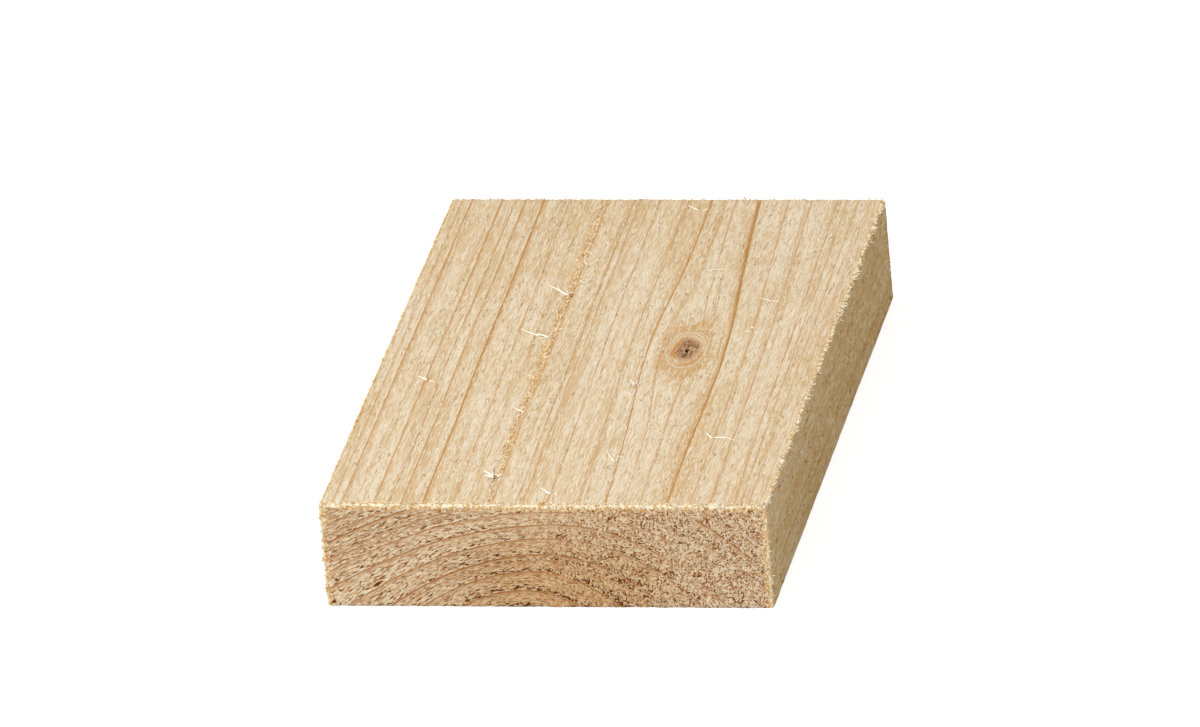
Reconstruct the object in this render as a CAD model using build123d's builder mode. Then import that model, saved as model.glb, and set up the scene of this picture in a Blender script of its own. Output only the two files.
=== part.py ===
from build123d import *

import os
from math import cos, radians, sin

# A short length of rough-sawn softwood plank, lying flat with its length along Y.
# Units are millimetres. The origin is the centre of the underside, with +Z up.
# The plank is one piece of wood: a sawn rectangle with worn arrises, cut square at
# both ends, with a tight knot in its upper face. Wood has no separate parts, so the
# knot's open pith and its drying checks are cut straight into the face.

# Sawn size of the stock and length of this piece
plank_width = 100.0
plank_thickness = 25.0
plank_length = 160.0

# The saw leaves the long arrises sharp and handling rounds them a little. The
# cross cut tears its own edges, so those are eased by less.
long_arris_radius = 0.7
end_arris_radius = 0.4

# The knot lies off centre. Its place is measured from the front end and from the
# right-hand edge, and its long axis leans a little to the left, as the grain does.
knot_from_front_end = 80.0
knot_from_right_edge = 31.5
knot_lean = 2.5

# The pith of the branch has dried out, which leaves a small oval pit that narrows
# towards its floor.
pith_length = 1.7
pith_width = 1.0
pith_depth = 2.6
pith_floor_share = 0.35

# Drying checks, as thin wedges that start at the pith and close as they go
# outwards and down: (direction from the knot's long axis in degrees, length).
check_runs = ((180.0, 5.8), (356.0, 7.0))
check_mouth = 0.42
check_tip = 0.12
check_depth = 1.3
check_floor_share = 0.3

knot_x = plank_width / 2 - knot_from_right_edge
knot_y = knot_from_front_end - plank_length / 2


def check_outline(direction, length, share):
    """Four corners of one check at one depth, from the pith outwards."""
    along = Vector(-sin(radians(direction)), cos(radians(direction)))
    across = Vector(along.Y, -along.X)
    tip = along * length
    half_mouth = across * (check_mouth / 2 * share)
    half_tip = across * (check_tip / 2 * share)
    return [half_mouth, tip + half_tip, tip - half_tip, half_mouth * -1]


with BuildPart() as plank:
    # The sawn section, drawn on the front end and run the length of the piece
    with BuildSketch(Plane.XZ.offset(plank_length / 2)):
        with Locations((0, plank_thickness / 2)):
            RectangleRounded(plank_width, plank_thickness, long_arris_radius)
    extrude(amount=-plank_length)

    # The edges that the cross cuts leave round both ends
    front_end = plank.faces().sort_by(Axis.Y)[0]
    back_end = plank.faces().sort_by(Axis.Y)[-1]
    fillet(front_end.edges() + back_end.edges(), end_arris_radius)

    # The pith pit, from its oval mouth in the sawn face down to its floor
    knot_plane = Plane(
        origin=(knot_x, knot_y, plank_thickness),
        x_dir=(cos(radians(knot_lean)), sin(radians(knot_lean)), 0),
        z_dir=(0, 0, 1),
    )
    with BuildSketch(knot_plane):
        Ellipse(pith_width / 2, pith_length / 2)
    with BuildSketch(knot_plane.offset(-pith_depth)):
        Ellipse(pith_width / 2 * pith_floor_share, pith_length / 2 * pith_floor_share)
    loft(mode=Mode.SUBTRACT)

    # The drying checks, which meet in the pit
    for direction, length in check_runs:
        for depth, share in ((0.0, 1.0), (check_depth, check_floor_share)):
            with BuildSketch(knot_plane.offset(-depth)):
                with BuildLine():
                    Polyline(*check_outline(direction, length, share), close=True)
                make_face()
        loft(mode=Mode.SUBTRACT)

plank.part.label = "plank"

os.makedirs("parts", exist_ok=True)
export_step(plank.part, "parts/plank.step")
print(f"plank: {plank.part.volume / 1000:.1f} cm3, {len(plank.part.solids())} solid")
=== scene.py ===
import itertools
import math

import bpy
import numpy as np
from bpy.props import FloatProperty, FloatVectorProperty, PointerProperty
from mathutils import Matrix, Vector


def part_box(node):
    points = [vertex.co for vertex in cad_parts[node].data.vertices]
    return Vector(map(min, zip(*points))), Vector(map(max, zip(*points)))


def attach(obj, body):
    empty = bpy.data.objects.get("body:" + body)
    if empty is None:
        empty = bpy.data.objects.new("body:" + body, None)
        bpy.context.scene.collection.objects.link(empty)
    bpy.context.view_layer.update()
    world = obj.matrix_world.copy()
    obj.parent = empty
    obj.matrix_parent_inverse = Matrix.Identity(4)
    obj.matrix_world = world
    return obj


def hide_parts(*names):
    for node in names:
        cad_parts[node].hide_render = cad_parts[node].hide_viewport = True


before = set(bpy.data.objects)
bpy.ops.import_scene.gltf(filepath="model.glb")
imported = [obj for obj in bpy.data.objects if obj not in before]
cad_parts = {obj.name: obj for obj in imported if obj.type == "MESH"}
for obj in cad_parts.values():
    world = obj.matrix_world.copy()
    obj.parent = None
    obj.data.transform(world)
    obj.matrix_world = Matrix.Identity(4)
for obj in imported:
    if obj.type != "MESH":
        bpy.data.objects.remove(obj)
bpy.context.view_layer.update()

# The looks of a short rough-sawn softwood plank, laid out as an add-on. One closed
# mesh carries the sawn faces, the growth rings and the knot, and joined meshes of
# torn wood fibre lie on it: the frayed arrises, the tufts of the torn ring line, the
# fuzz of the cross cuts, the nap of the sawn faces and the splinters the saw lifted.
# Helper functions work in millimetres, with +Y along the grain and the origin under
# the middle of the plank. Meshes are written in metres.

bl_info = {
    "name": "Sawn Softwood Plank",
    "version": (1, 0, 0),
    "blender": (4, 5, 0),
    "location": "View3D > Sidebar > Plank",
    "description": "A rough-sawn softwood plank with its growth rings, knot and torn fibres",
    "category": "Add Mesh",
}

MM = 0.001
BODY = "root"
NODE = "plank"

# The stock, read from the frame
LOW, HIGH = (np.array(corner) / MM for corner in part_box(NODE))
WIDTH, LENGTH, THICKNESS = HIGH - LOW
MIDDLE = (LOW + HIGH) / 2

# How far its worn arrises are eased, across the grain and along it
LONG_ARRIS = 0.7
END_ARRIS = 0.4

# The way the grain runs, the way up, and how far up the upper face's normals point
GRAIN = np.array((0.0, 1.0, 0.0))
UP = np.array((0.0, 0.0, 1.0))
FACES_UP = 0.9

# The knot, at the upper face: its centre, half its width and half its length, and how
# far it leans to the left going away from the front end
KNOT_CENTRE = (18.5, 0.0)
KNOT_HALF = (4.8, 9.4)
KNOT_LEAN = math.radians(2.5)
PITH_HALF = (0.5, 0.85)
PITH_DEPTH = 2.6
CHECKS = ((180.0, 5.8), (356.0, 7.0))
CHECK_MOUTH = 0.28
CHECK_TIP = 0.12
CHECK_DEPTH = 0.6

# The tree's own pith runs below the underside, and the branch starts from it, no
# narrower than a share of the knot
TREE_PITH = (-5.0, -25.0, -20.0)
LEAST_BRANCH = 0.2

# Growth rings: the height of each ring's crown over the underside, and how dark its
# latewood is. The lowest comes first, and its ring is the one nearest to the pith.
THICKEST_RING = 5.0
RINGS = (
    (-4.2, 0.50),
    (0.2, 0.60),
    (4.3, 0.75),
    (8.9, 0.80),
    (11.7, 0.45),
    (13.0, 0.95),
    (17.0, 0.70),
    (20.3, 0.80),
    (23.4, 0.60),
    (25.25, 0.40),
    (26.0, 1.00),
    (26.8, 0.40),
    (27.6, 0.60),
    (29.4, 1.00),
    (31.0, 0.60),
    (33.5, 0.65),
    (36.85, 0.75),
    (37.9, 0.50),
    (39.5, 0.50),
    (41.5, 0.40),
    (43.6, 0.40),
    (46.0, 0.40),
    (48.5, 0.40),
    (51.0, 0.40),
)

# How the rings are curved at several crown heights: where the flat of the crown starts
# and ends across the width, and the radius of the arc to its left and to its right
CROWN_HEIGHT = (4.3, 8.9, 13.0, 17.0, 20.3, 23.4, 26.0, 29.4, 31.0, 37.9)
CROWN_LEFT = (-5.5, -3.0, 0.5, 2.0, 3.0, 2.0, 2.0, 2.0, 2.0, 2.0)
CROWN_RIGHT = (-5.5, -3.0, 0.5, 2.0, 3.5, 2.0, 5.0, 10.0, 10.0, 10.0)
LEFT_RADIUS = (26.0, 38.0, 52.0, 67.0, 86.0, 88.0, 91.0, 94.0, 94.0, 94.0)
RIGHT_RADIUS = (20.0, 21.0, 25.0, 32.0, 33.4, 50.0, 45.0, 37.0, 43.7, 45.0)

# Where the saw tore a ring line all along the upper face, as a place across the width
TORN_LINE = -12.3

# Faint lines of the upper face that belong to no ring, at places across the width
FAINT_LINES = (-34.2, -5.9, 1.3)

# How far the fibres drift to the left over the whole length, at places across the width
DRIFT_X = (-47, -38, -27, -20, -5, 3, 13, 22, 28, 33, 38, 42, 47)
DRIFT = (0.0, 0.3, 1.8, 2.5, 1.6, 3.0, 3.4, 6.0, 6.6, 4.8, 4.0, 3.2, 1.7)

# How many fibres the torn line and the cross cuts start from, before some are left out,
# and how many the long faces have for each millimetre of width: upper, lower and narrow
LINE_TUFTS = 900
END_FIBRES = 7500
NAP_FIBRES = (70, 12, 45)

# How deep the roots of the upper face's fibres lie, how far every fibre stays off the
# floor, and how high over the upper face it may reach
ROOT_DEPTH = 0.12
FLOOR_GAP = 0.02
HIGHEST_FIBRE = 0.75

# Depths of the bump on the wood and on its fibres, and how matt the fibres are
WOOD_BUMP = 0.10 * MM
FIBRE_BUMP = 0.03 * MM
FIBRE_ROUGHNESS = 0.8


def linear(red, green, blue):
    """A colour given as 0 to 255 in sRGB, as linear values."""
    share = np.array((red, green, blue)) / 255.0
    return tuple(np.where(share <= 0.04045, share / 12.92, ((share + 0.055) / 1.055) ** 2.4))


# Noise and small shapes on whole arrays


def lattice(cell, seed):
    """A repeatable random number from -1 to 1 for each whole-number cell."""
    mixed = cell[:, 0] * 374761393 + cell[:, 1] * 668265263 + cell[:, 2] * 2147483647
    mixed = (mixed + seed * 974634777) & 0xFFFFFFFF
    mixed = ((mixed ^ (mixed >> 13)) * 1274126177) & 0xFFFFFFFF
    return ((mixed ^ (mixed >> 16)) & 0xFFFF) / 32767.5 - 1.0


def noise(points, seed):
    """Smooth noise from -1 to 1: the lattice's values at the eight corners of each
    point's cell, blended along each axis by 3t² - 2t³."""
    cell = np.floor(points).astype(np.int64)
    part = points - cell
    part = part * part * (3 - 2 * part)
    total = np.zeros(len(points))
    for corner in itertools.product((0, 1), repeat=3):
        share = np.prod(np.where(corner, part, 1 - part), axis=1)
        total += share * lattice(cell + np.array(corner), seed)
    return total


def layered_noise(points, seed, layers):
    """Layers of noise, each with twice the detail and half the height of the last."""
    return sum(noise(points * 2**n, seed + n) / 2**n for n in range(layers))


def smooth_step(low, high, values):
    """0 below low, 1 above high, and 3t² - 2t³ between."""
    t = np.clip((values - low) / (high - low), 0, 1)
    return t * t * (3 - 2 * t)


def graded_lines(low, high, count, dense):
    """Places of count + 1 grid lines from low to high. The spacing is even except near
    each (centre, reach, gain) in dense, where lines stand up to 1 + gain times closer."""
    fine = np.linspace(low, high, 4001)
    density = 1
    for centre, reach, gain in dense:
        density = density + gain * np.exp(-(((fine - centre) / reach) ** 2))
    passed = np.concatenate(([0], np.cumsum((density[1:] + density[:-1]) / 2)))
    return np.interp(np.linspace(0, passed[-1], count + 1), passed, fine)


def across_and_along(u, v, angle):
    """Two coordinates seen from axes turned by an angle: across them and along them."""
    across = u * math.cos(angle) + v * math.sin(angle)
    return across, v * math.cos(angle) - u * math.sin(angle)


def unit(vectors):
    """Vectors at length 1, along the last axis."""
    return vectors / np.linalg.norm(vectors, axis=-1, keepdims=True)


# The figure of the wood


def knot_place(points):
    """Each point's place in the branch, as shares of the knot's half width and half
    length at that depth. The branch is a cone from the tree's pith to the knot."""
    root = np.array(TREE_PITH)
    reached = (points[:, 2] - root[2]) / (HIGH[2] - root[2])
    centre_x = root[0] + (KNOT_CENTRE[0] - root[0]) * reached
    centre_y = root[1] + (KNOT_CENTRE[1] - root[1]) * reached
    u, v = points[:, 0] - centre_x, points[:, 1] - centre_y
    across, along = across_and_along(u, v, KNOT_LEAN)
    size = np.maximum(reached, LEAST_BRANCH)
    return np.stack((across / (KNOT_HALF[0] * size), along / (KNOT_HALF[1] * size), reached), 1)


def grain_place(points):
    """Where each point would lie if the fibres ran straight along Y. They drift to the
    left going back, and part round the knot as a stream does round a post: the shift is
    40u / (u² + (v/4.5)² + 40) at u beside the knot and v along it, less far away."""
    x, y, z = points.T
    going_back = (y - LOW[1]) / LENGTH
    place = knot_place(points)
    reached = np.clip(place[:, 2], LEAST_BRANCH, 1)
    u, v = place[:, 0] * KNOT_HALF[0] * reached, place[:, 1] * KNOT_HALF[1] * reached
    parted = 40 * reached**2 * u / (u**2 + (v / 4.5) ** 2 + 40 * reached**2)
    parted *= np.exp(-((v / 75) ** 2)) / (1 + (u / 16) ** 4)
    straight = x - parted + 0.2 * noise(np.stack((x / 12, y / 40, z / 12), 1), 11)
    for _ in range(3):
        x = straight + np.interp(x, DRIFT_X, DRIFT) * going_back
    return np.stack((x, y, z), 1)


def ring_level(grain):
    """The crown height of the ring surface through each point. A ring of crown height h
    lies at z = h - l²/2L - r²/2R, where l and r are how far the point is to the left and
    to the right of the crown's flat, and L and R the radii, so h is found by halving."""
    x, z = grain[:, 0], grain[:, 2]
    low, high = z - 1.0, z + 60.0
    halvings = 26
    for _ in range(halvings):
        level = (low + high) / 2
        left = np.maximum(np.interp(level, CROWN_HEIGHT, CROWN_LEFT) - x, 0)
        right = np.maximum(x - np.interp(level, CROWN_HEIGHT, CROWN_RIGHT), 0)
        fall = left**2 / 2 / np.interp(level, CROWN_HEIGHT, LEFT_RADIUS)
        fall += right**2 / 2 / np.interp(level, CROWN_HEIGHT, RIGHT_RADIUS)
        under = level - fall < z
        low = np.where(under, level, low)
        high = np.where(under, high, level)
    return (low + high) / 2


def level_change(points, step):
    """How much the crown height changes at each point over a step to the right, and over
    one upwards."""
    level = ring_level(grain_place(points))
    across = ring_level(grain_place(points + (step, 0, 0))) - level
    return across, ring_level(grain_place(points + (0, 0, step))) - level


def ring_spacing(points, normal):
    """How fast the crown height changes along the skin at each point, going across the
    grain, found from two points a little way off. It turns ring heights into distances."""
    step = 0.3
    across, up = level_change(points, step)
    across, up = across * (1 - np.abs(normal[:, 0])), up * (1 - np.abs(normal[:, 2]))
    return np.clip(np.hypot(across, up) / step, 0.12, 4.0)


def ring_count(points):
    """Rings passed from the lowest one, as a number whose whole part is the ring."""
    heights = [height for height, _ in RINGS]
    return np.interp(ring_level(grain_place(points)), heights, np.arange(len(heights)))


# Mesh writing


def write_mesh(name, points, faces, smooth=True):
    """A mesh object at the origin from points in millimetres and faces as index arrays,
    one array for each number of corners."""
    mesh = bpy.data.meshes.new(name)
    corners = np.concatenate([f.ravel() for f in faces])
    sizes = np.concatenate([np.full(len(f), f.shape[1]) for f in faces])
    mesh.vertices.add(len(points))
    mesh.vertices.foreach_set("co", (points * MM).astype(np.float32).ravel())
    mesh.loops.add(len(corners))
    mesh.loops.foreach_set("vertex_index", corners.astype(np.int32))
    mesh.polygons.add(len(sizes))
    mesh.polygons.foreach_set("loop_start", (np.cumsum(sizes) - sizes).astype(np.int32))
    mesh.polygons.foreach_set("use_smooth", np.full(len(sizes), smooth))
    mesh.update(calc_edges=True)
    piece = bpy.data.objects.new(name, mesh)
    bpy.context.scene.collection.objects.link(piece)
    return piece


def write_attribute(piece, name, values):
    """A value or a vector for each vertex, which the finishes read by name."""
    kind = "FLOAT_VECTOR" if values.ndim == 2 else "FLOAT"
    attribute = piece.data.attributes.new(name, kind, "POINT")
    field = "vector" if values.ndim == 2 else "value"
    attribute.data.foreach_set(field, values.astype(np.float32).ravel())


def write_map(piece, places):
    """The piece's UV map, from one place for each face corner."""
    layer = piece.data.uv_layers.new(name="OFBake")
    layer.uv.foreach_set("vector", places.astype(np.float32).ravel())


def hand_over(piece, material):
    """Gives a finished piece its material and its place in the frame."""
    piece.data.materials.append(material)
    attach(piece, BODY)


# The plank's own mesh


def face_grid(across, along, third, axes):
    """One face of the box as a grid: its points and its four-cornered faces, which face
    outwards. across and along are the grid lines on axes[0] and axes[1], and third is the
    fixed coordinate on axes[2]."""
    a, b = np.meshgrid(across, along, indexing="ij")
    points = np.empty((a.size, 3))
    points[:, axes[0]] = a.ravel()
    points[:, axes[1]] = b.ravel()
    points[:, axes[2]] = third
    index = np.arange(a.size).reshape(a.shape)
    quads = np.stack((index[:-1, :-1], index[1:, :-1], index[1:, 1:], index[:-1, 1:]), -1)
    quads = quads.reshape(-1, 4)
    cyclic = axes in ((0, 1, 2), (1, 2, 0), (2, 0, 1))
    outward_is_up = third == HIGH[axes[2]]
    if cyclic != outward_is_up:
        quads = quads[:, ::-1]
    return points, quads


def axis_lines(axis, count, gain, *more):
    """Grid lines along an axis, which stand closer at both arrises and at more places."""
    reach = 0.5
    return graded_lines(
        LOW[axis], HIGH[axis], count, (*more, (LOW[axis], reach, gain), (HIGH[axis], reach, gain))
    )


def box_skin():
    """The six faces of the stock as grids that share their border points. Returns the
    points, the faces, and for each face's corners their place on the UV map, where the
    faces lie side by side at one scale."""
    xs = axis_lines(0, 226, 3.0, (KNOT_CENTRE[0], 3.5, 2.0))
    ys = axis_lines(1, 128, 6.0, (KNOT_CENTRE[1], 6.0, 3.0))
    zs = axis_lines(2, 56, 2.0)
    gap = 2.0
    columns = np.cumsum((0, WIDTH + gap, WIDTH + gap, THICKNESS + gap))
    upper_row = LENGTH + gap
    sides = (
        (xs, ys, HIGH[2], (0, 1, 2), (columns[0], 0)),
        (xs, ys, LOW[2], (0, 1, 2), (columns[1], 0)),
        (zs, ys, HIGH[0], (2, 1, 0), (columns[2], 0)),
        (zs, ys, LOW[0], (2, 1, 0), (columns[3], 0)),
        (xs, zs, LOW[1], (0, 2, 1), (columns[0], upper_row)),
        (xs, zs, HIGH[1], (0, 2, 1), (columns[1], upper_row)),
    )
    sheet = np.array((columns[3] + THICKNESS, upper_row + THICKNESS))
    points, faces, places = [], [], []
    start = 0
    for across, along, third, axes, corner in sides:
        found, quads = face_grid(across, along, third, axes)
        on_map = (found[:, axes[:2]] - LOW[list(axes[:2])] + corner) / sheet
        places.append(on_map[quads.ravel()])
        faces.append(quads + start)
        points.append(found)
        start += len(found)
    points, faces = np.concatenate(points), np.concatenate(faces)
    rounded = np.round(points * 1000).astype(np.int64)
    _, first, merged = np.unique(rounded, axis=0, return_index=True, return_inverse=True)
    return points[first], merged.ravel()[faces], np.concatenate(places)


def eased(points):
    """The box's points moved onto rounded arrises, with the outward direction there. Within
    the arris radius of an edge, a point moves onto an oval about a line inside the edge."""
    radius = np.array((LONG_ARRIS, END_ARRIS, LONG_ARRIS))
    inner = np.clip(points, LOW + radius, HIGH - radius)
    out = unit((points - inner) / radius)
    return inner + out * radius, unit(out / radius)


# Places on the upper face where the saw tore fibres out, as (x, y, width, length,
# depth, turn in degrees)
TEARS = (
    (-12.6, 28.0, 1.2, 3.2, 0.6, 10),
    (-13.6, 6.4, 1.1, 3.0, 0.55, 35),
    (-12.8, -66.0, 1.2, 2.2, 0.8, 30),
    (-37.4, -16.5, 0.7, 2.2, 0.35, 20),
    (1.5, -74.0, 0.9, 1.6, 0.4, 60),
    (12.6, -58.5, 0.8, 1.8, 0.4, 20),
    (10.2, -18.0, 0.8, 1.6, 0.4, 0),
    (-14.0, -31.5, 0.8, 2.4, 0.4, 30),
    (33.0, 25.5, 0.6, 1.4, 0.3, 0),
    (-11.5, 44.0, 0.7, 2.6, 0.35, 0),
    (5.5, 75.0, 0.8, 1.6, 0.3, 60),
)


def tear_depth(points, normal):
    """How deep the tears go at each point, as ovals with soft walls and a rough floor."""
    x, y = points[:, 0], points[:, 1]
    total = np.zeros(len(points))
    for centre_x, centre_y, width, length, depth, turn in TEARS:
        across, along = across_and_along(x - centre_x, y - centre_y, math.radians(turn))
        spread = (2 * across / width) ** 2 + (2 * along / length) ** 2
        total += 0.6 * depth * np.exp(-spread)
    return total * (normal[:, 2] > FACES_UP)


def pith_and_checks(points, normal):
    """Depth of the knot's open pith and of its drying checks. The pith is an oval pit, and
    a check is a wedge whose half width shrinks evenly from the pith to its tip."""
    x, y = points[:, 0], points[:, 1]
    across, along = across_and_along(x - KNOT_CENTRE[0], y - KNOT_CENTRE[1], KNOT_LEAN)
    oval = np.hypot(across / PITH_HALF[0], along / PITH_HALF[1])
    depth = PITH_DEPTH * (1 - smooth_step(0.55, 1.25, oval))
    for direction, length in CHECKS:
        aside, ahead = across_and_along(across, along, math.radians(direction))
        aside += 0.16 * np.sin(ahead * 2.1 + direction)
        run = np.clip(ahead / length, 0, 1)
        half = (CHECK_MOUTH + (CHECK_TIP - CHECK_MOUTH) * run) / 2
        inside = 1 - smooth_step(0.6, 1.6, np.abs(aside) / half)
        inside = inside * (ahead > 0) * (ahead < length)
        depth = np.maximum(depth, CHECK_DEPTH * (1 - run) ** 0.7 * inside)
    return depth * (normal[:, 2] > FACES_UP)


def torn_line(grain, normal):
    """1 on the ring line left of the crown, where the saw tore the upper face all along."""
    return np.exp(-(((grain[:, 0] - TORN_LINE) / 0.9) ** 2)) * (normal[:, 2] > FACES_UP)


def edge_distance(points):
    """How far each point is from the nearest torn edge, up to 4 mm. A point of the skin lies
    in one face, so its distance to the second nearest face is that to the nearest edge. The
    underside's edges are clean, and don't count."""
    x, y, z = points.T
    away = np.stack((x - LOW[0], HIGH[0] - x, y - LOW[1], HIGH[1] - y, HIGH[2] - z))
    return np.minimum(np.sort(away, axis=0)[1], 4.0)


def relief(points, normal):
    """Height of the worked surface over the smooth stock at each point. Latewood stands
    proud in lines, the saw leaves long furrows, short torn flecks and one torn line along
    the grain, the cross cuts are fuzzy, with the soft start of each ring torn deeper, and
    the knot is finely rippled in rings."""
    grain = grain_place(points)
    ring = np.mod(ring_count(points), 1.0)
    end = smooth_step(0.6, 0.95, np.abs(normal[:, 1]))
    furrow = layered_noise(grain / (1.1, 14.0, 1.1), 21, 3)
    fleck = layered_noise(grain / (0.7, 2.6, 0.7), 31, 2)
    late = smooth_step(0.82, 0.95, ring)
    long_face = 0.045 * furrow + 0.05 * fleck + 0.04 * late
    rough_line = torn_line(grain, normal)
    long_face -= rough_line * (0.10 + 0.22 * layered_noise(grain / (0.9, 1.8, 0.9), 41, 2))
    soft_start = smooth_step(0.0, 0.06, ring) * (1 - smooth_step(0.16, 0.4, ring))
    tuft = layered_noise(points / 0.9, 51, 2)
    hollow = soft_start * 0.16 * np.maximum(noise(points / 0.8, 61), 0)
    end_face = 0.09 * tuft - hollow + 0.05 * late
    place = knot_place(points)
    away = np.hypot(place[:, 0], place[:, 1])
    in_knot = (1 - smooth_step(0.85, 1.1, away)) * (normal[:, 2] > FACES_UP)
    knot = 0.05 * np.sin(away * 30) + 0.08 * layered_noise(points / 0.7, 71, 2)
    long_face = long_face * (1 - in_knot) + knot * in_knot
    height = long_face * (1 - end) + end_face * end
    return height - tear_depth(points, normal) - pith_and_checks(points, normal)


def edge_loss(points, normal):
    """How far the worn arrises are chipped back, where two faces meet. Noise along the
    edge sets where, and the underside's own edges lose less."""
    on_arris = 1 - smooth_step(0.80, 0.97, np.abs(normal).max(axis=1))
    ragged = np.maximum(layered_noise(points / (0.9, 0.9, 0.9), 81, 2) + 0.15, 0)
    low_edge = 1 - smooth_step(0, 2, points[:, 2])
    return on_arris * ragged * (0.35 - 0.2 * low_edge)


def make_plank(material):
    """The plank: the box skin, eased at its arrises and moved along its normals by the
    relief. Nothing goes below the underside."""
    corners, faces, places = box_skin()
    points, normal = eased(corners)
    moved = points + normal * (relief(points, normal) - edge_loss(points, normal))[:, None]
    moved[:, 2] = np.maximum(moved[:, 2], LOW[2])
    piece = write_mesh("plank_wood", moved, [faces])
    write_map(piece, places)
    grain = grain_place(points)
    side, end, _ = smooth_step(0.55, 0.9, np.abs(normal)).T
    attributes = {
        "grain": grain,
        "ring": ring_count(points),
        "knot": knot_place(points),
        "end": end,
        # How deep the tears, the pith and the checks go, from which the finish paints the shade inside
        # them
        "pit": tear_depth(points, normal),
        "pith": pith_and_checks(points, normal),
        "edge": edge_distance(corners),
        "level": ring_level(grain),
        "spacing": ring_spacing(points, normal),
        "side": side,
        "torn": torn_line(grain, normal),
    }
    for name, values in attributes.items():
        write_attribute(piece, name, values)
    hand_over(piece, material)
    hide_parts(NODE)


# Torn fibre


def fibres(name, root, along, bend, length, radius, tone, facing, stations=3):
    """Joined tapering fibres. A fibre's line is root + along·t + bend·t² times its length,
    with t from 0 to 1, and three points stand round it at each station, at a radius that
    shrinks towards its tip. A low ridge looks the way the fibre faces, with its flat side
    at the back. Roots are closed, so each fibre is a solid of its own."""
    count = len(root)
    sides = 3
    t = np.linspace(0, 0.85, stations)
    path = along[:, None] * t[:, None] + bend[:, None] * t[:, None] ** 2
    line = root[:, None] + length[:, None, None] * path
    heading = unit(along[:, None] + 2 * bend[:, None] * t[:, None])
    first = unit(np.cross(heading, facing[:, None]))
    second = np.cross(heading, first)
    turn = np.arange(sides) * 2 * math.pi / sides + math.pi / 6
    thick = radius[:, None] * (1 - 0.75 * t**1.5)
    flatness = 0.6
    ring = first[:, :, None] * np.cos(turn)[:, None]
    ring = ring + flatness * second[:, :, None] * np.sin(turn)[:, None]
    ring = line[:, :, None] + thick[:, :, None, None] * ring
    tip = root + length[:, None] * (along + bend)
    points = np.concatenate((ring.reshape(count, -1, 3), tip[:, None]), 1)
    each = points.shape[1]

    index = np.arange(stations * sides).reshape(stations, sides)
    after = np.roll(index, -1, 1)
    walls = np.stack((index[:-1], after[:-1], after[1:], index[1:]), -1).reshape(-1, 4)
    last = np.stack((index[-1], after[-1], np.full(sides, each - 1)), -1)
    base = index[0][::-1][None]
    ends = np.concatenate((last, base))
    start = np.arange(count)[:, None, None] * each
    faces = [(walls + start).reshape(-1, 4), (ends + start).reshape(-1, 3)]
    points[..., 2] = np.clip(points[..., 2], LOW[2] + FLOOR_GAP, HIGH[2] + HIGHEST_FIBRE)
    piece = write_mesh(name, points.reshape(-1, 3), faces, smooth=False)

    # On the map each fibre has a small cell of its own: round it across, root to tip up
    cells = math.ceil(math.sqrt(count))
    column, row = np.arange(count) % cells, np.arange(count) // cells
    round_it = np.tile(np.arange(sides), stations)
    up = np.repeat(t, sides)
    local = np.concatenate((np.stack(((round_it + 0.5) / (sides + 1), up), 1), [[0.5, 1.0]]))
    local = 0.1 + 0.8 * local
    places = (np.stack((column, row), 1)[:, None] + local[None]) / cells
    write_map(piece, places.reshape(-1, 2)[np.concatenate([f.ravel() for f in faces])])
    write_attribute(piece, "tip", np.tile(np.concatenate((up, [1.0])), count))
    write_attribute(piece, "tone", np.repeat(tone, each))
    return piece


def signs(rng, count, share=0.5):
    """-1 for this share of the fibres, by chance, and 1 for the others."""
    return np.where(rng.uniform(0, 1, count) < share, -1.0, 1.0)


def arris_runs():
    """Every arris as its two ends in millimetres, the way its tufts point and face, and how
    thick its fray is: tufts for each millimetre, their length and their radius."""
    runs = []
    up = (0, 0, 1)
    for y, out_y, share in ((LOW[1], -1, 1.0), (HIGH[1], 1, 0.4)):
        front, many, tall = (0, out_y, 0.3), 10.0 * share, 0.3 + 0.7 * share
        top = ((LOW[0], y, HIGH[2]), (HIGH[0], y, HIGH[2]))
        bottom = ((LOW[0], y, LOW[2]), (HIGH[0], y, LOW[2]))
        runs.append((*top, front, (0, 0.4 * out_y, 1), many, 0.60 * tall, 0.24 * tall))
        runs.append((*bottom, (0, out_y, -0.1), up, 2.0, 0.25, 0.08))
        for x, out_x in ((LOW[0], -0.8), (HIGH[0], 0.8)):
            upright = ((x, y, LOW[2]), (x, y, HIGH[2]))
            runs.append((*upright, (out_x, 0.6 * out_y, 0), front, many, 0.48 * tall, 0.24))
    for x, out_x, share in ((LOW[0], -1, 0.6), (HIGH[0], 1, 1.0)):
        out, leaning = (out_x, 0, 0.3), (0.3 * out_x, 0, 1)
        top = ((x, LOW[1], HIGH[2]), (x, HIGH[1], HIGH[2]))
        bottom = ((x, LOW[1], LOW[2]), (x, HIGH[1], LOW[2]))
        runs.append((*top, out, leaning, 6.0, 0.72 * share, 0.27 * share))
        runs.append((*bottom, (out_x, 0, -0.1), up, 1.0, 0.25, 0.07))
    return runs


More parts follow.
